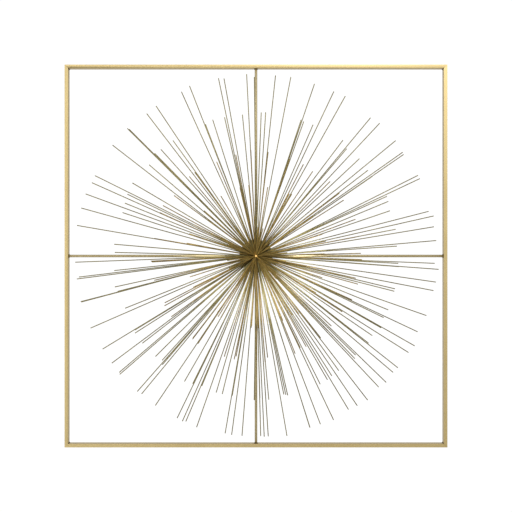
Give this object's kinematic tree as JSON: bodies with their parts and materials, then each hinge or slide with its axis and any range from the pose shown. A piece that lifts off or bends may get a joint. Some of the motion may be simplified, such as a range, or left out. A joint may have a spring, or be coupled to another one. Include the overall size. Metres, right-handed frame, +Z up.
{
  "type": "framed starburst wall sculpture",
  "caption": "Square metal tube frame holding a burst of straight wire rods on a central hub, carried by four thin stays; hangs flat on a wall.",
  "frame": {"origin": "centre of the square, on the wall plane that the backs of the four rear pads touch", "axes": "+Z up; +X to the right as seen from the front; the front faces -Y and the wall is on the +Y side"},
  "size_m": [0.914, 0.1154, 0.914],
  "materials": {
    "frame_metal": "satin gold lacquer on steel tube and bar",
    "rod_wire": "satin antique gold lacquer on steel wire",
    "hub_metal": "satin antique gold lacquer on turned steel",
    "weld": "darker gold over weld metal",
    "pad": "matt"
  },
  "bodies": {
    "root": {"bottom_tube": "frame_metal", "centre_disc": "hub_metal", "corner_welds": "weld", "front_rods_lower_left": "rod_wire", "front_rods_lower_right": "rod_wire", "front_rods_upper_left": "rod_wire", "front_rods_upper_right": "rod_wire", "hub_weld": "weld", "left_stay": "frame_metal", "left_tube": "frame_metal", "long_rods_lower_left": "rod_wire", "long_rods_lower_right": "rod_wire", "long_rods_upper_left": "rod_wire", "long_rods_upper_right": "rod_wire", "lower_stay": "frame_metal", "middle_rods_lower_left": "rod_wire", "middle_rods_lower_right": "rod_wire", "middle_rods_upper_left": "rod_wire", "middle_rods_upper_right": "rod_wire", "outer_rods_lower_left": "rod_wire", "outer_rods_lower_right": "rod_wire", "outer_rods_upper_left": "rod_wire", "outer_rods_upper_right": "rod_wire", "right_stay": "frame_metal", "right_tube": "frame_metal", "rod_hub": "hub_metal", "short_rods_lower_left": "rod_wire", "short_rods_lower_right": "rod_wire", "short_rods_upper_left": "rod_wire", "short_rods_upper_right": "rod_wire", "stay_end_welds": "weld", "stay_root_welds": "weld", "top_tube": "frame_metal", "upper_stay": "frame_metal", "wall_pads": "pad"}
  },
  "joints": []
}
